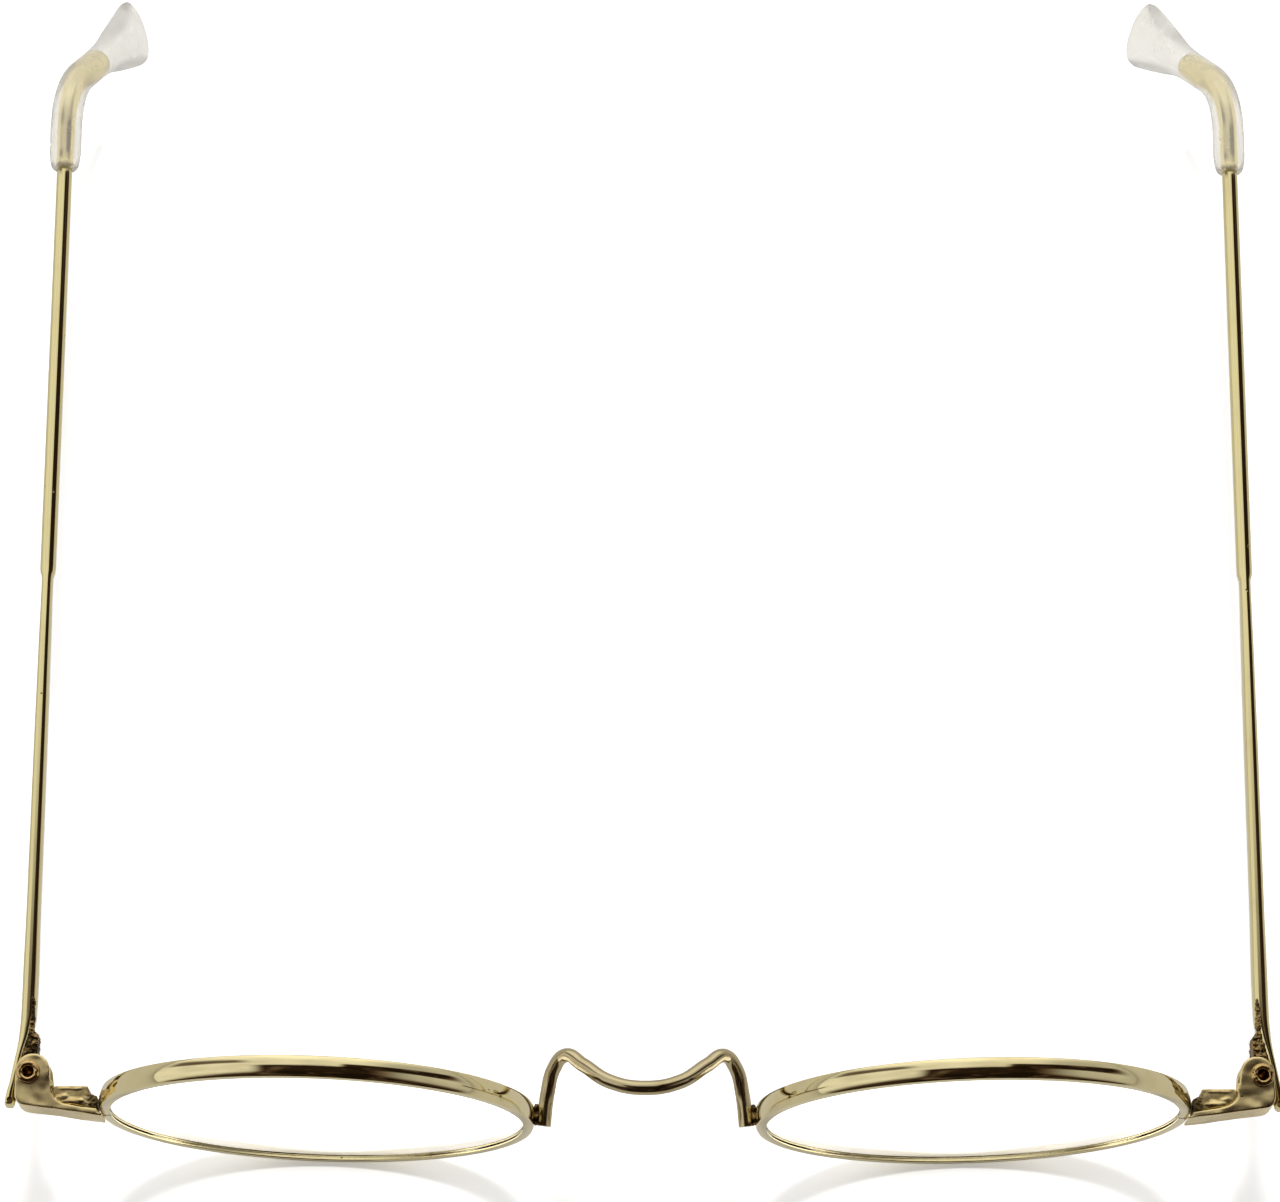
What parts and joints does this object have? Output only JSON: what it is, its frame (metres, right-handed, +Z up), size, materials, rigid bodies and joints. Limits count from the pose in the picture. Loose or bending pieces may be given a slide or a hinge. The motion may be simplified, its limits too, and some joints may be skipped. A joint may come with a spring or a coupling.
{
  "type": "eyeglasses",
  "caption": "Round wire-rim eyeglasses with a W-shaped saddle bridge, folding temples on riveted hinges and clear plastic ear tips.",
  "frame": {"origin": "On the surface that the glasses stand on, under the middle of the whole object's box, with the temples open.", "axes": "+X to the wearer's left, +Y from the front back along the temples, +Z up; the lenses face -Y."},
  "size_m": [0.1322, 0.1344, 0.045],
  "materials": {
    "polished_gold": "mirror-polished pale gold plate with fine scratches",
    "endpiece_gold": "satin pale gold, stamped and lightly tumbled",
    "soldered_gold": "rough pale gold with lumpy solder",
    "rivet_brass": "polished brown brass, rolled over and hollow",
    "screw_metal": "turned and plated",
    "lens_clear": "clear, polished, no tint",
    "tip_clear": "clear soft plastic with a faint warm tint"
  },
  "bodies": {
    "front": {"bridge": "polished_gold", "left_rim": "polished_gold", "left_lens": "lens_clear", "left_endpiece": "endpiece_gold", "left_rim_lock_upper": "soldered_gold", "left_rim_lock_lower": "soldered_gold", "left_rim_lock_screw": "screw_metal", "left_hinge_rivet": "rivet_brass", "right_rim": "polished_gold", "right_lens": "lens_clear", "right_endpiece": "endpiece_gold", "right_rim_lock_upper": "soldered_gold", "right_rim_lock_lower": "soldered_gold", "right_rim_lock_screw": "screw_metal", "right_hinge_rivet": "rivet_brass"},
    "left_temple": {"left_hinge_leaf": "soldered_gold", "left_temple": "polished_gold", "left_ear_tip": "tip_clear"},
    "right_temple": {"right_hinge_leaf": "soldered_gold", "right_temple": "polished_gold", "right_ear_tip": "tip_clear"}
  },
  "joints": [
    {"name": "left_temple_hinge", "type": "hinge", "parent": "front", "child": "left_temple", "pos_m": [0.06365, -0.06194, 0.0225], "axis": [0.0218, 0, 0.9998], "range_deg": [0, 84]},
    {"name": "right_temple_hinge", "type": "hinge", "parent": "front", "child": "right_temple", "pos_m": [-0.06365, -0.06194, 0.0225], "axis": [-0.0218, 0, -0.9998], "range_deg": [0, 86]}
  ]
}
